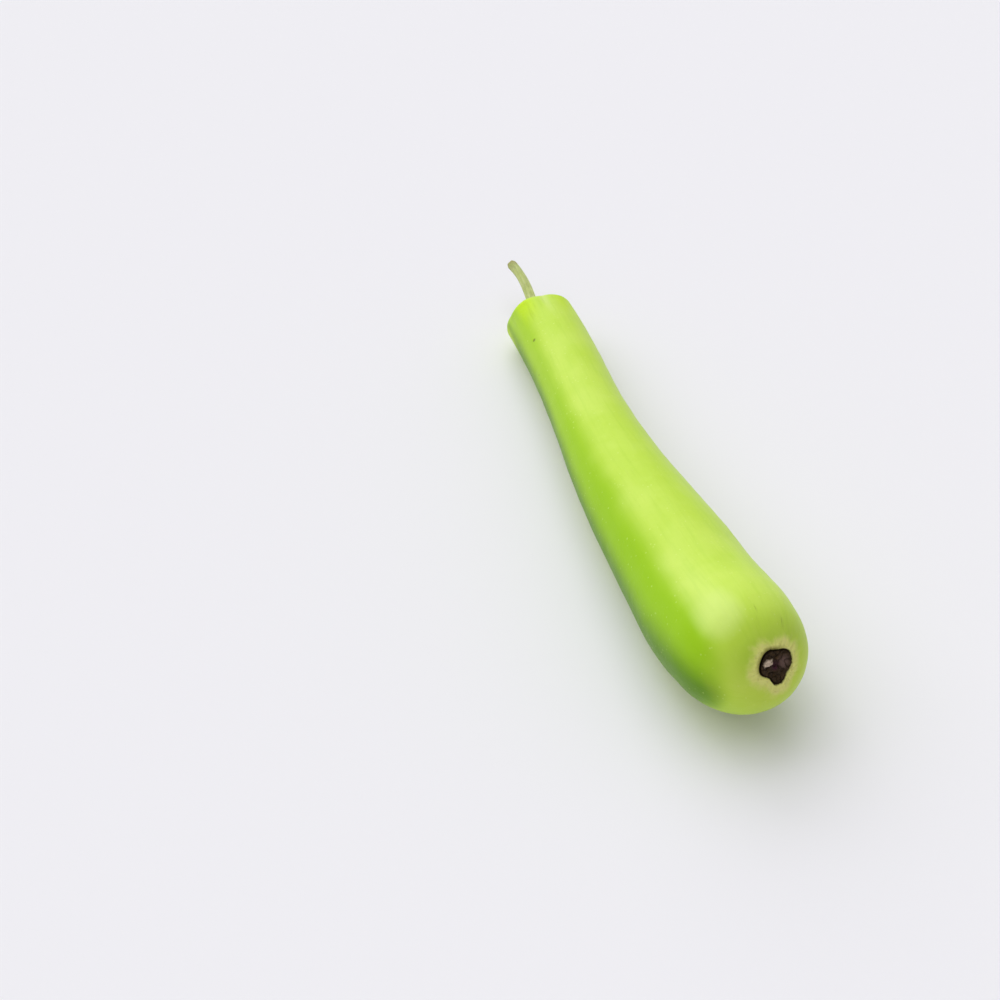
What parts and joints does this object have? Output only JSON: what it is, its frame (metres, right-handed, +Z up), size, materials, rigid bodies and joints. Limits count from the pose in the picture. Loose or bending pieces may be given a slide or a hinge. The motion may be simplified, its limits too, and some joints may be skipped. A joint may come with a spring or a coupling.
{
  "type": "bottle gourd",
  "caption": "Whole picked bottle gourd lying on its side, with a full blossom end, a tapering neck and a cut green stalk.",
  "frame": {"origin": "middle of the bottom of the whole gourd, on the surface it lies on", "axes": "+X towards the blossom end, -X towards the cut stalk, +Z up"},
  "size_m": [0.4826, 0.0842, 0.0924],
  "materials": {
    "skin": "waxy, softly glossy, lime green",
    "stalk": "fibrous, olive green, dry at the cut",
    "cork": "dry, corky, dark brown"
  },
  "bodies": {
    "root": {"fruit": "skin", "stalk": "stalk", "dried_flower_base": "cork"}
  },
  "joints": []
}
